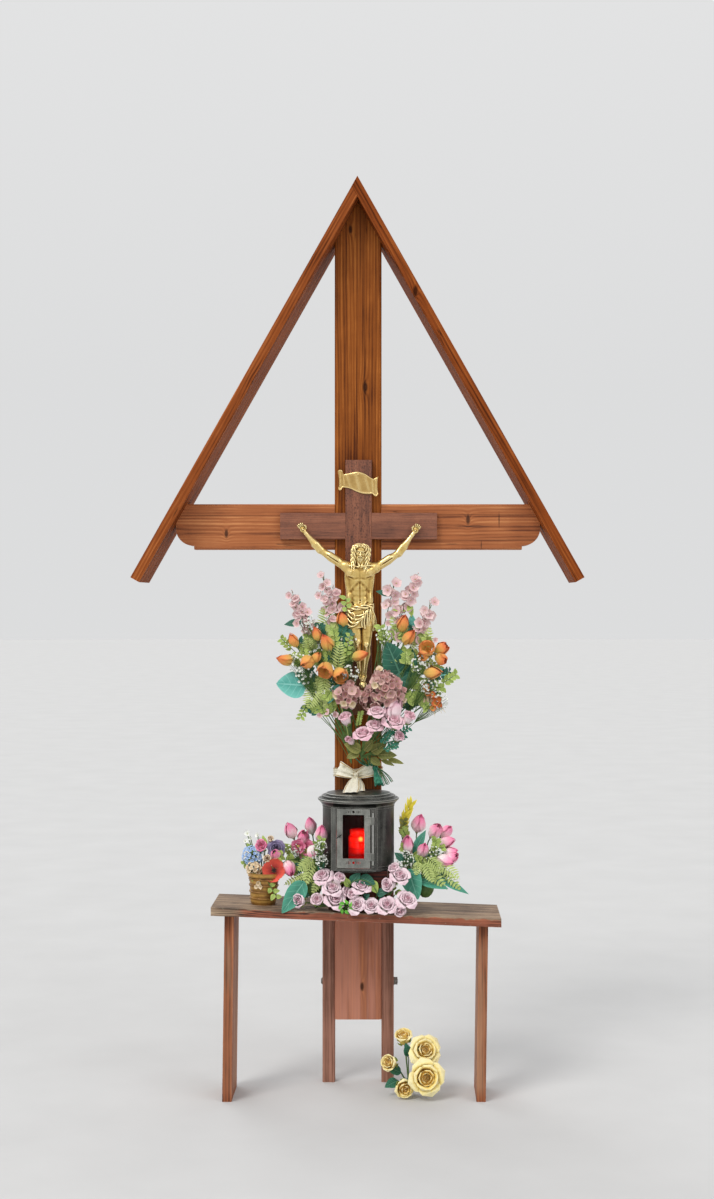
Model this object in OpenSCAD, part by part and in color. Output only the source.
// Wayside shrine: a roofed timber cross with a small crucifix, a shelf with a round
// lantern, and artificial flowers. Units are millimetres, +Z is up and the front faces -Y.
// The origin is at ground level, on the foot of the right ground stake.

/* [Cross] */
// Width of the upright post
post_w = 140; // [110:1:180]
// Thickness of the post and the crossbeam
timber_t = 60; // [50:1:80]
// Height of the post's foot above the ground
post_foot_z = 190; // [80:1:300]
// Height of the crossbeam's underside
beam_z = 1600; // [1560:1:1700]
// Height of the crossbeam
beam_h = 136; // [110:1:160]
// Radius of the crossbeam's rounded lower ends
beam_end_r = 53; // [30:1:70]
// Small step where the rounded end meets the underside
beam_step = 11; // [4:1:20]
// Depth of the lap where post and beam cross
lap_t = 30; // [20:1:40]
// Bevel along the edges of the post and the beam
arris = 4; // [2:0.5:8]

/* [Roof] */
// Height of the roof's peak
apex_z = 2703; // [2600:1:2900]
// Angle between each roof board and the upright
roof_angle = 29.5; // [26:0.5:36]
// Length of each roof board along its outer face
roof_len = 1364; // [1250:1:1500]
// Thickness of the roof boards
roof_t = 30; // [20:1:40]
// Depth of the roof boards from front to back
roof_depth = 216; // [160:1:280]
// Bevel along the edges of the roof boards and planks
plank_bevel = 2; // [1:0.5:4]

/* [Ground stakes] */
// Width of each ground stake
stake_w = 37; // [30:1:60]
// Thickness of each ground stake
stake_t = 44; // [36:1:56]
// Height of the stakes above the ground
stake_h = 640; // [560:1:700]
// Diameter of the bolts through stakes and post
bolt_d = 12; // [8:1:16]
// Heights of the two bolts
bolt_zs = [300, 500];

/* [Crucifix] */
// Width of the crucifix's boards
cruc_w = 79; // [60:1:90]
// Thickness of the crucifix's boards
cruc_t = 20; // [12:1:26]
// Height of the upright's lower end
cruc_z = 1105; // [1080:1:1180]
// Length of the upright
cruc_h = 762; // [700:1:800]
// Length of the crucifix's arm
cruc_arm_l = 469; // [400:1:520]
// Height of the arm's underside
cruc_arm_z = 1630; // [1610:1:1660]
// Sideways place of the crucifix from the post's middle
cruc_x = 2; // [-10:1:10]
// How far the upright's front stands proud of the arm's
cruc_proud = 2; // [1:0.5:4]

/* [Scroll] */
// Width of the title scroll
scroll_w = 122; // [90:1:140]
// Height of the title scroll
scroll_h = 48; // [36:1:60]
// Thickness of the title scroll
scroll_t = 4; // [3:0.5:8]
// Height of the title scroll's middle
scroll_z = 1795; // [1760:1:1820]

/* [Shelf] */
// Length of the shelf board
shelf_l = 833; // [700:1:900]
// Depth of the shelf board
shelf_d = 238; // [220:1:300]
// Thickness of the shelf board
shelf_t = 24; // [18:1:36]
// Height of the shelf's top at the post's middle
shelf_z = 551; // [520:1:580]
// Slope of the shelf, down towards the right, in degrees
shelf_slope = 2.3; // [0:0.1:4]
// Thickness of the shelf's plank legs
leg_t = 27; // [20:1:36]
// Depth of the shelf's plank legs
leg_d = 165; // [120:1:200]
// Distance from the shelf's middle to each leg
leg_x = 367; // [320:1:385]
// Sideways lean of the legs at their feet
leg_lean = 7; // [0:1:12]

/* [Lantern] */
// Height of the lantern's foot above the ground
lantern_z = 664; // [650:1:680]
// Sideways place of the lantern's axis from the post's middle
lantern_x = 4; // [-5:1:10]
// Distance of the lantern's axis in front of the post's middle plane
lantern_y = 152; // [150:1:165]
// Turn of the lantern's door towards the left, in degrees
lantern_turn = 6; // [0:1:10]
// Outer radius of the lantern's wall
wall_r = 105.5; // [100:0.5:108]
// Thickness of the lantern's sheet metal
sheet_t = 2; // [1.5:0.5:3]
// Height of the lantern's wall
wall_h = 180; // [178:1:190]
// Thickness of the lantern's base
base_t = 8; // [6:1:12]
// Radius of the lid's rim
lid_r = 119; // [115:1:121]
// Width of the door
door_w = 96; // [80:1:98]
// Height of the door
door_h = 169; // [150:1:171]
// Thickness of the door's frame
door_t = 4; // [3:0.5:5]
// Gap between the door and the portal
door_gap = 2; // [1:0.5:3]
// Width of the portal's jambs
jamb_w = 15; // [13:1:18]
// Distance of the portal's front from the lantern's axis
portal_y = 110; // [108:1:113]
// Width of the door's window
window_w = 63; // [50:1:70]
// Height of the door's window
window_h = 126; // [100:1:130]
// Radius of the hinge rod
rod_r = 2.5; // [2:0.5:3]

/* [Candle] */
// Outer radius of the candle's jar
jar_r = 29; // [24:0.5:30]
// Height of the candle's jar with its cap
jar_h = 106; // [90:1:120]
// Thickness of the jar's wall
jar_wall = 1.6; // [1.2:0.1:2.5]

/* [Flower pot] */
// Radius of the pot's foot
pot_foot_r = 35; // [28:1:40]
// Radius of the pot's rim
pot_rim_r = 47; // [40:1:55]
// Height of the pot
pot_h = 92; // [80:1:100]

/* [Hidden] */
$fn = 64;
eps = 0.01;

// The cross's middle plane lies half a post and half a stake to the left of the origin.
cross_x = -(post_w + stake_w) / 2;
post_front = timber_t / 2;
cruc_front = post_front + cruc_t;

// Gap between the roof boards and the timbers that carry them
roof_fit = 0.05;
// Points on the roof's faces, measured from the peak
roof_sin = sin(roof_angle);
roof_cos = cos(roof_angle);
inner_apex_z = apex_z - roof_t / roof_sin;
beam_top = beam_z + beam_h;
// Half width under the roof boards at a height
function under_roof(z) = (inner_apex_z - z) * roof_sin / roof_cos;
// The rounded beam end bites a little into the roof's inner face and is then cut off along it
beam_bite = 1;
beam_end_z = beam_z + beam_step + beam_end_r;
beam_end_x = under_roof(beam_end_z) - (beam_end_r - beam_bite) / roof_cos;

// Height of the shelf's top over a sideways place
function shelf_top(x) = shelf_z - x * tan(shelf_slope);
shelf_under_drop = shelf_t / cos(shelf_slope);

// Lantern heights
wall_z = lantern_z + base_t;
wall_top = wall_z + wall_h;
door_z = wall_z + (wall_h - door_h) / 2 + 2;
opening_w = door_w + 2 * door_gap;
portal_w = opening_w + 2 * jamb_w;
portal_in = sqrt(pow(wall_r - sheet_t, 2) - pow(portal_w / 2, 2));
sill_h = door_z - door_gap - wall_z;
door_front = portal_y + 2;
hinge_x = door_w / 2 + 9;
hinge_y = door_front + 3;
knuckle_r = rod_r + 2;
knuckle_fit = 0.1;
glass_t = 2;
glass_lap = 3;

gold = [0.72, 0.55, 0.24];
stain = [0.50, 0.24, 0.15];
dark_stain = [0.37, 0.20, 0.17];
grey_wood = [0.33, 0.27, 0.24];
patina = [0.23, 0.23, 0.22];
silk_pink = [0.85, 0.70, 0.78];
silk_green = [0.38, 0.50, 0.28];

// Moves a piece from the cross's middle plane to its place in the frame.
module on_cross() {
    translate([cross_x, 0, 0]) children();
}

// Extrudes a front view from y_front to y_back.
module front_profile(y_front, y_back) {
    translate([0, y_back, 0]) rotate([90, 0, 0]) linear_extrude(y_back - y_front) children();
}

// A rectangle with bevelled corners, centred on the origin.
module bevelled(w, h, b) {
    polygon([
        [-w / 2 + b, -h / 2], [w / 2 - b, -h / 2], [w / 2, -h / 2 + b], [w / 2, h / 2 - b],
        [w / 2 - b, h / 2], [-w / 2 + b, h / 2], [-w / 2, h / 2 - b], [-w / 2, -h / 2 + b]
    ]);
}

// The space under the roof as seen from the front, less the fit of what stands under it
module under_roof_outline() {
    half = under_roof(0) - roof_fit / roof_cos;
    polygon([[-half, 0], [half, 0], [0, inner_apex_z - roof_fit / roof_sin]]);
}

// A plank with bevelled long edges, w wide and t thick, standing on its end.
module plank(w, t, h, b) {
    linear_extrude(h) bevelled(w, t, b);
}

module cross_post() {
    color(stain) on_cross() difference() {
        intersection() {
            translate([0, 0, post_foot_z]) plank(post_w, timber_t, apex_z - post_foot_z, arris);
            front_profile(-timber_t, timber_t) under_roof_outline();
        }
        translate([-post_w, post_front - lap_t, beam_z]) cube([2 * post_w, timber_t, beam_h]);
        for (z = bolt_zs) bolt_hole(z);
    }
}

module beam_outline() {
    body_x = beam_end_x - 2;
    shoulder = beam_end_r - beam_bite / 2;
    intersection() {
        union() {
            translate([-body_x, beam_z]) square([2 * body_x, beam_h]);
            for (side = [-1, 1]) scale([side, 1]) {
                translate([beam_end_x, beam_end_z]) circle(beam_end_r);
                polygon([
                    [0, beam_end_z], [beam_end_x, beam_end_z],
                    [beam_end_x + shoulder * roof_cos, beam_end_z + shoulder * roof_sin],
                    [under_roof(beam_top) + 10, beam_top], [0, beam_top]
                ]);
            }
        }
        under_roof_outline();
    }
}

module cross_beam() {
    reach = beam_end_x + 2 * beam_end_r;
    color(stain) on_cross() difference() {
        intersection() {
            front_profile(-timber_t / 2, timber_t / 2) beam_outline();
            translate([-reach, 0, beam_z + beam_h / 2]) rotate([0, 90, 0])
                linear_extrude(2 * reach) bevelled(beam_h, timber_t, arris);
        }
        translate([-post_w / 2, -timber_t, beam_z - 1]) cube([post_w, timber_t + post_front - lap_t, beam_h + 2]);
    }
}

// One roof board before its upper end is cut; side is 1 for the right board.
module roof_slab(side) {
    scale([side, 1, 1]) translate([0, 0, apex_z]) rotate([0, -roof_angle, 0])
        translate([-roof_t / 2, 0, -roof_len]) plank(roof_t, roof_depth, roof_len + roof_t * 4, plank_bevel);
}

// Everything on the inner side of the right roof board's inner or outer face.
module roof_side(side, inset) {
    reach = roof_len * 2;
    scale([side, 1, 1]) translate([0, 0, apex_z]) rotate([0, -roof_angle, 0])
        translate([-reach - inset, -roof_depth, -reach]) cube([reach, 2 * roof_depth, 2 * reach]);
}

module roof_board_right() {
    color(stain) on_cross() intersection() {
        roof_slab(1);
        roof_side(-1, 0);
    }
}

module roof_board_left() {
    color(stain) on_cross() intersection() {
        roof_slab(-1);
        roof_side(1, roof_t);
    }
}

// Clearance hole of a stake bolt, all the way across
module bolt_hole(z) {
    translate([-post_w, 0, z]) rotate([0, 90, 0]) cylinder(r = bolt_d / 2 + 0.3, h = 2 * post_w);
}

module ground_stake(side) {
    top_cut = 8;
    color(stain * 0.8) on_cross() difference() {
        translate([side * (post_w + stake_w) / 2, 0, 0]) plank(stake_w, stake_t, stake_h, plank_bevel);
        for (z = bolt_zs) bolt_hole(z);
        translate([side * (post_w + stake_w) / 2, -stake_t, stake_h]) rotate([0, side * 12, 0])
            translate([-stake_w, 0, 0]) cube([2 * stake_w, 2 * stake_t, top_cut]);
    }
}

module stake_bolts() {
    head_h = 5;
    nut_h = 9;
    half = post_w / 2 + stake_w;
    color([0.35, 0.33, 0.31]) on_cross() for (z = bolt_zs) translate([0, 0, z]) rotate([0, 90, 0]) {
        translate([0, 0, -half]) cylinder(d = bolt_d, h = 2 * half + nut_h + 3);
        translate([0, 0, -half - head_h]) cylinder(r1 = bolt_d * 0.6, r2 = bolt_d, h = head_h);
        translate([0, 0, half]) cylinder(r = bolt_d, h = 2);
        translate([0, 0, half + 2]) cylinder(r = bolt_d * 0.95, h = nut_h, $fn = 6);
    }
}

module crucifix_upright() {
    t = cruc_t + cruc_proud;
    color(dark_stain) on_cross() difference() {
        translate([cruc_x, -post_front - t / 2, cruc_z]) plank(cruc_w, t, cruc_h, plank_bevel);
        translate([cruc_x - cruc_w, -post_front - cruc_t / 2, cruc_arm_z]) cube([2 * cruc_w, cruc_t, cruc_w]);
    }
}

module crucifix_arm() {
    color(dark_stain) on_cross() difference() {
        translate([cruc_x - cruc_arm_l / 2, -post_front - cruc_t / 2, cruc_arm_z + cruc_w / 2])
            rotate([0, 90, 0]) plank(cruc_w, cruc_t, cruc_arm_l, plank_bevel);
        translate([cruc_x - cruc_w / 2, -cruc_front - cruc_t / 2, cruc_arm_z - 1])
            cube([cruc_w, cruc_t, cruc_w + 2]);
    }
}

// A rounded limb through points [x, forward, z, radius]; forward counts from the crucifix's face.
module limb(points, sides = 7) {
    for (i = [1 : len(points) - 1]) hull() {
        joint_ball(points[i - 1], sides);
        joint_ball(points[i], sides);
    }
}

module joint_ball(p, sides) {
    translate([cruc_x + p[0], -cruc_front - cruc_proud - p[1], p[2]]) sphere(p[3], $fn = sides);
}

// Several balls held in one skin, for the trunk, head and cloth.
module mass_of(points, sides = 8) {
    hull() for (p = points) joint_ball(p, sides);
}

// Everything at or behind a distance from the cross's middle plane
module behind(y) {
    translate([-shelf_l, -y, 0]) cube([2 * shelf_l, timber_t * 2, apex_z]);
}

// A boss at the back of the casting that rests on a board whose face is at y
module back_boss(x, z, r, y) {
    difference() {
        limb([[x, 12, z, r + 1], [x, 1, z, r]], 6);
        behind(y);
    }
}

// An open hand at [x, forward, z]: palm, four curled fingers, a thumb towards the head, and the nail's head
module open_hand(p, lean) {
    thumb = lean > 0 ? -1 : 1;
    translate([cruc_x + p[0], -cruc_front - cruc_proud - p[1], p[2]]) rotate([0, lean, 0]) {
        hull() {
            for (x = [-4.5, 4.5]) translate([x, 0, 4]) sphere(4, $fn = 6);
            translate([0, 0, -6]) sphere(5.5, $fn = 6);
        }
        for (x = [-6, -2, 2, 6]) hull() {
            translate([x, -1, 6]) sphere(2.8, $fn = 4);
            translate([x * 1.2, -9, 13 - abs(x) / 3]) sphere(2.4, $fn = 4);
        }
        hull() {
            translate([thumb * 7, -2, -1]) sphere(3.2, $fn = 4);
            translate([thumb * 10, -7, 7]) sphere(2.5, $fn = 4);
        }
        rotate([90, 0, 0]) cylinder(r = 3, h = 7, $fn = 6);
    }
}

// Head, beard and the hair that falls to both shoulders
module corpus_head() {
    mass_of([[8, 34, 1596, 21], [8, 40, 1588, 15], [8, 43, 1576, 10]]);
    mass_of([[8, 50, 1587, 3], [8, 56, 1579, 3], [8, 50, 1576, 3]], 6);
    mass_of([[3, 45, 1573, 6], [13, 45, 1573, 6], [8, 47, 1561, 4]], 8);
    for (side = [-1, 1]) {
        limb([[8 + side * 5, 46, 1612, 6], [8 + side * 20, 40, 1592, 8], [8 + side * 20, 42, 1545, 5]], 5);
        limb([[8 + side * 4, 32, 1616, 6], [8 + side * 24, 31, 1590, 9], [8 + side * 27, 36, 1542, 6]], 5);
        mass_of([[8 + side * 9, 24, 1598, 15], [8 + side * 15, 24, 1562, 12], [8 + side * 18, 26, 1549, 9]], 6);
    }
}

// Cloth about the hips: a rolled upper edge, folds that run to a knot, and its hanging end
module loincloth() {
    knot = [43, 38, 1424, 6];
    mass_of([[-16, 22, 1424, 19], [34, 22, 1424, 19], [-17, 26, 1386, 17], [36, 26, 1386, 17]]);
    limb([[-31, 24, 1438, 5], [-8, 41, 1434, 5], [24, 42, 1433, 5], [46, 30, 1440, 5]], 5);
    for (fold = [[-29, 33, 1406, 5], [-26, 39, 1386, 5], [-8, 44, 1371, 5]])
        limb([knot, [(knot[0] + fold[0]) / 2, 44, (knot[2] + fold[2]) / 2 - 6, 4.5], fold], 5);
    for (end = [[39, 37, 1363, 4], [49, 31, 1358, 4]]) limb([knot, end], 5);
}

// Chest with its muscles, waist, hips and the slope of the shoulders into the neck
module corpus_trunk() {
    mass_of([[-16, 22, 1533, 20], [29, 22, 1533, 20], [-13, 24, 1493, 18], [26, 24, 1493, 18]]);
    mass_of([[-12, 24, 1493, 17], [25, 24, 1493, 17], [-10, 19, 1450, 17], [26, 19, 1450, 17]]);
    for (side = [-1, 1]) {
        mass_of([[6 + side * 11, 30, 1534, 14], [6 + side * 28, 25, 1536, 14], [6 + side * 17, 30, 1522, 13]]);
        mass_of([[6 + side * 8, 33, 1485, 8], [6 + side * 8, 29, 1456, 8]], 6);
        limb([[8 + side * 6, 28, 1562, 10], [8 + side * 34, 24, 1550, 10]]);
    }
    limb([[8, 26, 1548, 14], [8, 31, 1572, 13]]);
}

module corpus() {
    trunk_y = cruc_front + cruc_proud;
    color(gold) on_cross() {
        // Arms from shoulder to wrist, with the swell of the upper arm and the forearm
        limb([
            [-34, 24, 1548, 15], [-70, 18, 1571, 12.5], [-112, 17, 1598, 9.5], [-130, 13, 1619, 9.5], [-156, 10, 1649, 6.5]
        ]);
        limb([
            [48, 24, 1544, 15], [82, 18, 1564, 12.5], [121, 17, 1588, 9.5], [138, 13, 1610, 9.5], [162, 10, 1645, 6.5]
        ]);
        open_hand([-165, 10, 1661], -30);
        open_hand([171, 10, 1657], 31);
        corpus_trunk();
        corpus_head();
        loincloth();
        // Legs with knees and calves, down to the crossed feet
        limb([[-6, 26, 1390, 18], [-1, 34, 1340, 13], [0, 38, 1324, 12], [2, 28, 1292, 12], [9, 18, 1224, 7.5]]);
        limb([[28, 26, 1390, 18], [26, 34, 1335, 13], [25, 38, 1317, 12], [25, 28, 1288, 12], [18, 24, 1219, 7.5]]);
        limb([[10, 14, 1222, 8], [18, 28, 1200, 6], [19, 34, 1193, 5]], 6);
        mass_of([[17, 22, 1218, 8], [9, 38, 1197, 4], [18, 38, 1197, 4], [12, 44, 1191, 4]], 6);
        for (z = [1440, 1530]) back_boss(7, z, 11, trunk_y);
        back_boss(13, 1204, 6, trunk_y);
        back_boss(-165, 1661, 5, cruc_front);
        back_boss(171, 1657, 5, cruc_front);
    }
}

// The waved banner about its centre: its upper edge from left to right, then its lower edge back
module scroll_outline() {
    upper = [
        [-0.49, 0.79], [-0.43, 0.60], [-0.34, 0.60], [-0.15, 0.65], [0.01, 0.71],
        [0.17, 0.58], [0.32, 0.35], [0.40, 0.27], [0.44, 0.29], [0.50, 0.42]
    ];
    lower = [
        [0.49, -0.79], [0.43, -0.65], [0.39, -0.62], [0.32, -0.69], [0.13, -0.65],
        [-0.02, -0.52], [-0.19, -0.33], [-0.34, -0.27], [-0.42, -0.33], [-0.47, -0.42]
    ];
    polygon([for (p = concat(upper, lower)) [p[0] * scroll_w, p[1] * scroll_h]]);
}

module title_scroll() {
    y_back = -cruc_front - cruc_proud;
    face_y = y_back - scroll_t;
    rim = 3.5;
    rim_h = 1.2;
    flutes = 6;
    flute_w = 6;
    flute_step = 0.14 * scroll_w;
    color(gold) on_cross() translate([cruc_x, 0, scroll_z]) {
        front_profile(face_y, y_back) scroll_outline();
        // Raised rim, and upright flutes in place of lettering
        front_profile(face_y - rim_h, face_y + eps) difference() {
            scroll_outline();
            offset(delta = -rim) scroll_outline();
        }
        front_profile(face_y - rim_h, face_y + eps) intersection() {
            offset(delta = -rim - 2) scroll_outline();
            for (i = [0 : flutes - 1])
                translate([(i - (flutes - 1) / 2) * flute_step - flute_w / 2, -scroll_h]) square([flute_w, 2 * scroll_h]);
        }
        translate([0, face_y, scroll_h * 0.55]) rotate([90, 0, 0]) cylinder(r = 3.4, h = 2.4, $fn = 24);
    }
}

// A front-view strip between two heights that follow the shelf's slope
module on_slope_outline(x0, x1, drop_top, drop_bottom) {
    polygon([
        [x0, shelf_top(x0) - drop_bottom], [x1, shelf_top(x1) - drop_bottom],
        [x1, shelf_top(x1) - drop_top], [x0, shelf_top(x0) - drop_top]
    ]);
}

module shelf_board() {
    half = shelf_l / 2;
    color(grey_wood) on_cross() front_profile(-post_front - shelf_d, -post_front)
        on_slope_outline(-half, half, 0, shelf_under_drop);
}

module shelf_leg(side) {
    x_top = side * leg_x;
    x_foot = x_top - leg_lean;
    inner = leg_t / 2;
    mid_y = -post_front - shelf_d / 2;
    color(stain * 0.85) on_cross() front_profile(mid_y - leg_d / 2, mid_y + leg_d / 2) polygon([
        [x_foot - inner, 0], [x_foot + inner, 0],
        [x_top + inner, shelf_top(x_top + inner) - shelf_under_drop],
        [x_top - inner, shelf_top(x_top - inner) - shelf_under_drop]
    ]);
}

module lantern_block() {
    block_w = 170;
    x0 = lantern_x - block_w / 2;
    x1 = lantern_x + block_w / 2;
    color(stain) on_cross() front_profile(-lantern_y - 72, -lantern_y + 62) polygon([
        [x0, shelf_top(x0)], [x1, shelf_top(x1)], [x1, lantern_z], [x0, lantern_z]
    ]);
}

// Puts a piece in the lantern's own frame: its axis at the origin, its door towards -Y.
module in_lantern() {
    on_cross() translate([lantern_x, -lantern_y, 0]) rotate([0, 0, -lantern_turn]) children();
}

module lantern_base() {
    color(patina) in_lantern() translate([0, 0, lantern_z]) rotate_extrude() polygon([
        [0, 0], [wall_r - 3, 0], [wall_r + 1, 3], [wall_r + 1, base_t - 2], [wall_r - 1, base_t], [0, base_t]
    ]);
}

// The wall's tube with its raised bands, before it is split and cut for the portal
module wall_tube() {
    band_h = 7;
    inner = wall_r - sheet_t;
    rotate_extrude() polygon([
        [inner, 0], [wall_r, 0], [wall_r, band_h - 1], [wall_r - 1, band_h],
        [wall_r - 1, wall_h - band_h], [wall_r, wall_h - band_h + 1], [wall_r, wall_h], [inner, wall_h]
    ]);
}

// A wedge from the lantern's axis, between two angles measured from the door
module sector(a0, a1) {
    r = 2 * wall_r;
    mid = (a0 + a1) / 2;
    linear_extrude(wall_h) polygon([
        [0, 0], [r * sin(a0), -r * cos(a0)], [r * sin(mid), -r * cos(mid)], [r * sin(a1), -r * cos(a1)]
    ]);
}

module lantern_wall(a0, a1) {
    color(patina) in_lantern() translate([0, 0, wall_z]) difference() {
        intersection() {
            wall_tube();
            sector(a0, a1);
        }
        translate([-portal_w / 2, -portal_y, -1]) cube([portal_w, portal_y, wall_h + 2]);
    }
}

module lantern_portal() {
    bar_r = 2.5;
    color(patina * 1.3) in_lantern() {
        translate([0, 0, wall_z]) difference() {
            intersection() {
                translate([-portal_w / 2, -portal_y, 0]) cube([portal_w, portal_y - portal_in, wall_h]);
                translate([0, 0, -1]) cylinder(r = portal_y + 25, h = wall_h + 2);
            }
            translate([-opening_w / 2, -portal_y - 1, sill_h])
                cube([opening_w, portal_y, door_h + 2 * door_gap]);
        }
        // Lugs that hold the hinge rod above and below the door's knuckles
        for (z = [door_z + 4, door_z + door_h - 10]) translate([hinge_x - 3.5, -hinge_y, z])
            cube([7, hinge_y - portal_y, 6]);
        for (z = [door_z + 4, door_z + door_h - 10]) translate([hinge_x, -hinge_y, z]) cylinder(r = 3.5, h = 6);
    }
}

module lantern_hinge_rod() {
    color(patina * 1.6) in_lantern() translate([hinge_x, -hinge_y, door_z + 10])
        cylinder(r = rod_r, h = door_h - 20);
}

module lantern_lid() {
    rings = [[lid_r, 19], [108, 27], [96, 33]];
    color(patina) in_lantern() translate([0, 0, wall_top]) rotate_extrude() union() {
        polygon([
            [0, 0], [wall_r + 1, 0], [wall_r + 4, 5], [lid_r - 3, 12], [lid_r - 3, 18],
            [108, 20], [107, 26], [96, 28], [94, 33], [70, 34], [0, 35]
        ]);
        for (ring = rings) translate([ring[0] - 3, ring[1] - 3]) circle(3, $fn = 24);
    }
}

// One row of vents in a door rail: slots each side of a small rosette
module vent_row() {
    for (side = [-1, 1], i = [0 : 2]) translate([side * (10 + i * 4.5) - 1, -4]) square([2, 8]);
    circle(4, $fn = 8);
}

module lantern_door_frame() {
    bottom_rail = 27;
    color(patina * 1.5) in_lantern() {
        translate([0, 0, door_z]) difference() {
            front_profile(-door_front, -door_front + door_t) difference() {
                translate([-door_w / 2, 0]) square([door_w, door_h]);
                translate([-window_w / 2, bottom_rail]) square([window_w, window_h]);
                translate([0, bottom_rail / 2 + 2]) vent_row();
                translate([0, (door_h + bottom_rail + window_h) / 2]) vent_row();
            }
            translate([-window_w / 2 - glass_lap, -door_front + door_t - glass_t, bottom_rail - glass_lap])
                cube([window_w + 2 * glass_lap, door_t, window_h + 2 * glass_lap]);
        }
        // Hinge straps and knuckles round the rod
        for (z = [door_z + 22, door_z + door_h - 44]) translate([0, 0, z]) difference() {
            union() {
                translate([door_w / 2 - 12, -door_front - 1.6, 0]) cube([hinge_x - door_w / 2 + 12, 1.6 + eps, 22]);
                translate([hinge_x, -hinge_y, 0]) cylinder(r = knuckle_r, h = 22);
            }
            translate([hinge_x, -hinge_y, -1]) cylinder(r = rod_r + knuckle_fit, h = 24);
        }
    }
}

module lantern_door_glass() {
    fit = 0.1;
    color([0.6, 0.65, 0.65, 0.4]) in_lantern()
        translate([-window_w / 2 - glass_lap + fit, -door_front + door_t - glass_t, door_z + 27 - glass_lap + fit])
        cube([window_w + 2 * (glass_lap - fit), glass_t - fit, window_h + 2 * (glass_lap - fit)]);
}

module lantern_door_knob() {
    x = -door_w / 2 + 8;
    color(patina) in_lantern() translate([x, -door_front, door_z + 92]) rotate([90, 0, 0]) {
        cylinder(r = 4.5, h = 4);
        cylinder(r = 2.5, h = 9);
        translate([0, 0, 9]) rotate([0, 0, 35]) translate([-10, -2, 0]) cube([20, 4, 3]);
    }
}

module candle_jar() {
    neck = jar_r - 5;
    shoulder = jar_h - 22;
    top = jar_h - 12;
    color([0.85, 0.08, 0.06, 0.9]) in_lantern() translate([0, 0, wall_z]) rotate_extrude() polygon([
        [0, 0], [jar_r - 2, 0], [jar_r, 3], [jar_r, shoulder], [neck, shoulder + 8], [neck, top],
        [neck - jar_wall, top], [neck - jar_wall, shoulder + 7], [jar_r - jar_wall, shoulder - 1],
        [jar_r - jar_wall, 3], [0, 3]
    ]);
}

module candle_wax() {
    color([0.9, 0.85, 0.8]) in_lantern() translate([0, 0, wall_z + 3]) {
        cylinder(r = jar_r - jar_wall - 0.5, h = 58);
        cylinder(r = 1, h = 66, $fn = 16);
    }
}

module candle_cap() {
    neck = jar_r - 5;
    color([0.85, 0.08, 0.06]) in_lantern() translate([0, 0, wall_z + jar_h - 12]) rotate_extrude() polygon([
        [0, 0], [neck + 1.5, 0], [neck + 2, 2], [neck + 2, 9], [neck - 1, 12], [neck - 5, 12], [neck - 7, 9], [0, 8]
    ]);
}

// Stands a piece on the sloping shelf at a sideways and forward place.
module on_shelf(x, y) {
    on_cross() translate([x, -y, shelf_top(x)]) rotate([0, shelf_slope, 0]) children();
}

module flower_pot() {
    fill = pot_h - 10;
    color([0.45, 0.30, 0.14]) on_shelf(-274, 170) rotate_extrude() union() {
        polygon([
            [0, 0], [pot_foot_r, 0], [pot_foot_r + 2, 8], [pot_rim_r - 4, pot_h - 14], [pot_rim_r, pot_h - 12],
            [pot_rim_r, pot_h], [pot_rim_r - 3, pot_h], [pot_rim_r - 4, fill], [0, fill]
        ]);
        for (u = [0.2 : 0.2 : 0.8])
            translate([pot_foot_r + 1 + u * (pot_rim_r - pot_foot_r - 4), u * pot_h]) circle(3, $fn = 16);
    }
}

// A rose [x, forward, z, radius] that faces forward, on a stem from [x, forward, z]: rings of five petals
module rose_on(from, p) {
    r = p[3];
    rings = r > 23 ? [0, 1] : [0];
    translate([p[0], 0.6 * r - p[1], p[2]]) rotate([90, 0, 0]) for (ring = rings) rotate([0, 0, 36 * ring + 11 * p[0]])
        cylinder(r1 = 0.5 * r, r2 = (1.05 - 0.42 * ring) * r, h = (0.9 + 0.4 * ring) * r, $fn = 5);
    hull() {
        translate([from[0], -from[1], from[2]]) sphere(5, $fn = 4);
        translate([p[0], 0.3 * r - p[1], p[2]]) sphere(0.4 * r, $fn = 4);
    }
}

// A broad leaf from its foot to its tip, both [x, forward, z], that shows its face to the front
module blade(from, to, width) {
    middle = (from + to) / 2;
    hull() {
        translate([from[0], -from[1], from[2]]) sphere(3, $fn = 5);
        translate([middle[0], -middle[1], middle[2]]) scale([1, 6 / width, 1]) sphere(width / 2, $fn = 6);
        translate([to[0], -to[1], to[2]]) sphere(2, $fn = 5);
    }
}

// A spray of an artificial bouquet: stems in leaf that widen from its root to a ball of blooms at each tip
// [x, forward, z, radius], or to a pointed bud at a tip [x, forward, z, radius, lean]
module spray(root, tips) {
    for (t = tips) {
        hull() {
            translate([root[0], -root[1], root[2]]) sphere(7, $fn = 4);
            translate([t[0], -t[1], t[2]]) sphere(0.7 * t[3], $fn = 4);
        }
        translate([t[0], -t[1], t[2]]) {
            if (len(t) == 4) sphere(t[3], $fn = t[3] > 20 ? 8 : 6);
            else rotate([10, t[4], 0]) hull() {
                sphere(t[3], $fn = 6);
                translate([0, 0, 1.6 * t[3]]) sphere(2.5, $fn = 4);
            }
        }
    }
}

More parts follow.
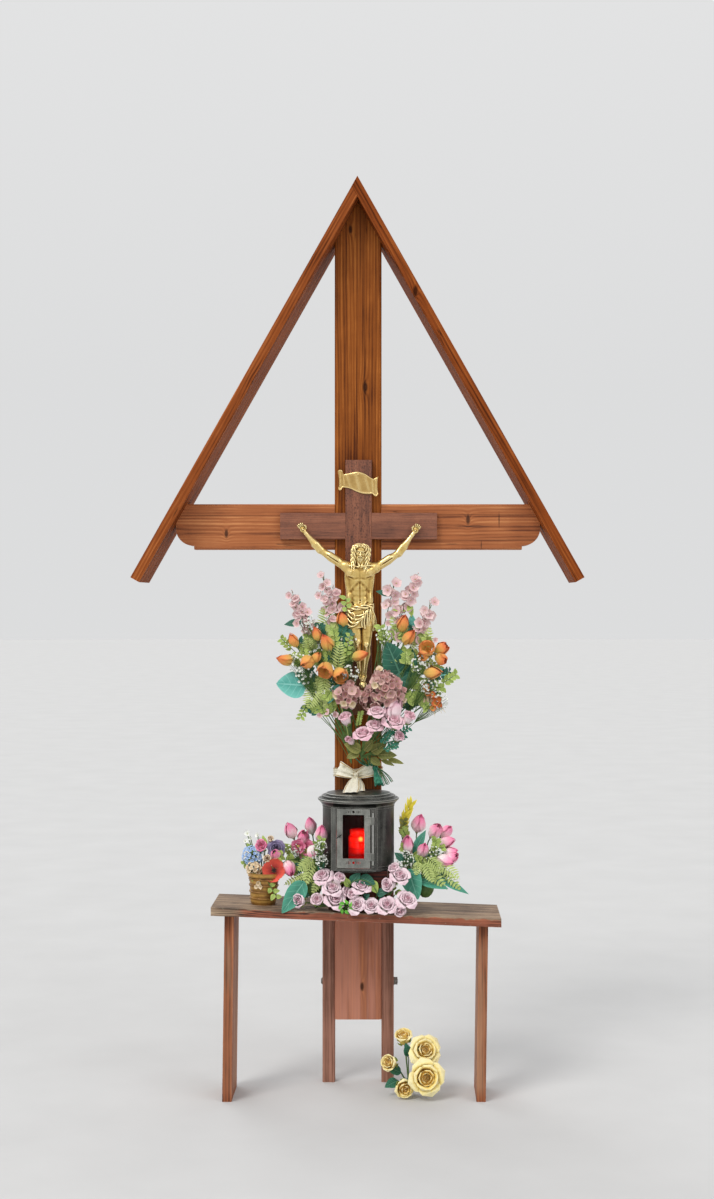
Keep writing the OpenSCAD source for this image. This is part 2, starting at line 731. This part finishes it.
module bouquet_left() {
    color(silk_green) on_cross() {
        spray([-18, 104, 965], [
            [-103, 85, 1500, 20], [-67, 85, 1472, 18], [-185, 92, 1440, 20], [-159, 90, 1400, 22],
            [-95, 85, 1392, 32], [-53, 97, 1385, 17, -6], [-189, 117, 1322, 16, -28], [-121, 112, 1342, 16, -20],
            [-90, 120, 1316, 19, -22], [-202, 126, 1270, 16, -70], [-148, 128, 1264, 21, -90], [-93, 132, 1248, 24],
            [-50, 126, 1230, 21], [-135, 115, 1180, 38], [-60, 125, 1168, 26], [-20, 128, 1284, 15, 66]
        ]);
        blade([-150, 112, 1200], [-246, 128, 1206], 74);
        blade([-60, 100, 1120], [-174, 120, 1262], 56);
    }
}

module bouquet_right() {
    color(silk_green) on_cross() {
        spray([40, 100, 965], [
            [111, 80, 1470, 18], [165, 85, 1495, 20], [205, 90, 1410, 20], [150, 90, 1430, 22],
            [133, 98, 1372, 18, 10], [85, 92, 1355, 18], [150, 108, 1330, 17, 32], [212, 100, 1350, 20],
            [246, 112, 1300, 18, 50], [206, 112, 1300, 22], [248, 118, 1272, 17, 100], [214, 116, 1234, 18, 84],
            [268, 100, 1215, 16], [235, 110, 1165, 26], [175, 108, 1155, 28]
        ]);
        blade([132, 90, 1216], [98, 112, 1326], 80);
        blade([150, 84, 1206], [156, 106, 1306], 76);
    }
}

module bouquet_centre() {
    color(silk_pink) on_cross() {
        spray([15, 120, 975], [
            [32, 128, 1200, 24], [78, 138, 1196, 40], [118, 128, 1188, 26], [-24, 132, 1168, 28],
            [112, 148, 1132, 18, 24], [120, 146, 1048, 16, 150], [-18, 130, 1034, 18], [92, 125, 992, 18]
        ]);
        for (rose = [[-33, 140, 1098, 26], [59, 158, 1118, 24], [108, 152, 1090, 27], [146, 140, 1098, 24],
            [19, 158, 1056, 26], [54, 154, 1080, 22]]) rose_on([15, 120, 975], rose);
        blade([14, 120, 988], [-38, 130, 1012], 32);
        blade([40, 122, 984], [94, 132, 1006], 34);
    }
}

module bouquet_stems() {
    color([0.2, 0.5, 0.4]) on_cross() {
        spray([20, 57.9, 950], [[52, 112, 908, 9], [70, 124, 900, 8], [98, 80, 906, 5], [35, 92, 930, 10]]);
        spray([12, 59.9, 948], [[-10, 100, 975, 9], [15, 110, 985, 10], [40, 96, 975, 9]]);
    }
}

module ribbon_bow() {
    band_h = 25;
    band_z = 918;
    band_t = 1.5;
    band_fit = 0.1;
    color([0.9, 0.88, 0.8]) on_cross() {
        translate([0, 0, band_z]) linear_extrude(band_h) difference() {
            bevelled(post_w + 2 * band_t, timber_t + 2 * band_t, arris + band_t / 2);
            bevelled(post_w + band_fit, timber_t + band_fit, arris);
        }
        bow_y = post_front + band_t;
        // Knot, two loops and two tails that come forward over the lid
        hull() {
            translate([-5, -bow_y - 16, 932]) sphere(8, $fn = 8);
            translate([-5, -bow_y - 7.5, 930]) sphere(9, $fn = 8);
        }
        for (tip = [[-46, 24, 940], [-48, 26, 922], [45, 21, 944], [50, 28, 922]]) hull() {
            translate([-5, -bow_y - 10, 930]) sphere(5, $fn = 6);
            translate([tip[0], -bow_y - tip[1], tip[2]]) sphere(7, $fn = 6);
        }
        for (dx = [-26, -4]) hull() {
            translate([-5, -bow_y - 10, 926]) sphere(5, $fn = 6);
            translate([dx, -bow_y - 40, 900]) sphere(7, $fn = 6);
        }
    }
}

// Keeps only what lies above the shelf's top, so that flowers rest on it.
module resting_on_shelf(x0, x1) {
    intersection() {
        children();
        front_profile(-400, 0) on_slope_outline(x0, x1, -400, 0);
    }
}

module pot_flowers() {
    color(silk_pink) {
        on_shelf(-274, 170) translate([0, 0, pot_h - 10]) cylinder(r = pot_rim_r - 8, h = 14, $fn = 24);
        on_cross() {
            spray([-272, 168, 660], [
                [-306, 152, 699, 20], [-301, 176, 672, 18], [-255, 150, 738, 12], [-318, 146, 746, 12],
                [-255, 160, 695, 16]
            ]);
            for (rose = [[-276, 154, 724, 20], [-240, 150, 714, 19], [-250, 190, 680, 22]])
                rose_on([-268, 168, 652], rose);
        }
    }
}

module shelf_flowers_left() {
    color(silk_pink) on_cross() resting_on_shelf(-300, -90) {
        spray([-160, 165, 560], [
            [-194, 122, 762, 17, -20], [-137, 112, 776, 17, -8], [-120, 222, 764, 12, 12], [-160, 120, 747, 17],
            [-135, 192, 706, 18], [-204, 172, 664, 20, -160], [-165, 170, 640, 30], [-190, 210, 590, 24],
            [-140, 215, 625, 12]
        ]);
        blade([-128, 208, 636], [-205, 226, 552], 42);
    }
}

module shelf_flowers_right() {
    color(silk_pink) on_cross() resting_on_shelf(90, 350) {
        spray([205, 165, 546], [
            [180, 104, 784, 18, 12], [156, 160, 726, 17, 8], [198, 160, 710, 16, 14], [230, 132, 760, 17, 30],
            [264, 128, 764, 15, 40], [266, 138, 734, 15, 70], [270, 154, 704, 15, 80], [258, 174, 682, 16, 100],
            [318, 195, 582, 14], [170, 205, 600, 16], [150, 92, 824, 15, 20], [220, 168, 650, 32], [226, 160, 612, 20]
        ]);
        blade([152, 200, 664], [180, 214, 578], 54);
        blade([230, 186, 640], [318, 204, 590], 30);
    }
}

module shelf_roses() {
    color(silk_pink) on_cross() resting_on_shelf(-200, 180) {
        for (rose = [
            [-96, 252, 655, 20], [-54, 277, 646, 16], [-68, 256, 626, 25], [-112, 255, 590, 25],
            [-62, 256, 592, 25], [-160, 252, 585, 24], [14, 258, 630, 24], [5, 258, 602, 20],
            [8, 262, 572, 22], [43, 262, 568, 21], [88, 262, 572, 23], [142, 256, 582, 25],
            [102, 258, 622, 22], [124, 256, 644, 18], [120, 262, 556, 22], [100, 260, 596, 14]
        ]) rose_on([0.9 * rose[0], 250, shelf_top(rose[0]) + 8], rose);
        hull() for (x = [-170, 150]) for (y = [250, 258]) translate([x, -y, shelf_top(x) + 8]) sphere(12, $fn = 6);
        blade([20, 246, 610], [-16, 252, 662], 30);
        blade([22, 253, 622], [74, 252, 646], 32);
    }
}

module ground_roses() {
    color([0.75, 0.65, 0.3]) on_cross() intersection() {
        union() {
            spray([100, 27.2, 40], [
                [138, 120, 158, 24, -16], [197, 146, 128, 26, 34], [97, 138, 92, 20, -24], [172, 160, 80, 26]
            ]);
            for (rose = [[201, 196, 66, 42], [138, 180, 36, 32]]) rose_on([100, 30, 40], rose);
            blade([150, 140, 60], [232, 160, 96], 40);
        }
        translate([0, -400, 0]) cube([400, 400, 300]);
    }
}

cross_post();
cross_beam();
roof_board_left();
roof_board_right();
ground_stake(-1);  // ground_stake_left
ground_stake(1);  // ground_stake_right
stake_bolts();
crucifix_upright();
crucifix_arm();
corpus();
title_scroll();
shelf_board();
shelf_leg(-1);  // shelf_leg_left
shelf_leg(1);  // shelf_leg_right
lantern_block();
lantern_base();
lantern_wall(-120, -20);  // lantern_wall_left
lantern_wall(120, 240);  // lantern_wall_back
lantern_wall(20, 120);  // lantern_wall_right
lantern_portal();
lantern_lid();
lantern_hinge_rod();
lantern_door_frame();
lantern_door_glass();
lantern_door_knob();
candle_jar();
candle_wax();
candle_cap();
flower_pot();
pot_flowers();
bouquet_left();
bouquet_right();
bouquet_centre();
bouquet_stems();
ribbon_bow();
shelf_flowers_left();
shelf_flowers_right();
shelf_roses();
ground_roses();
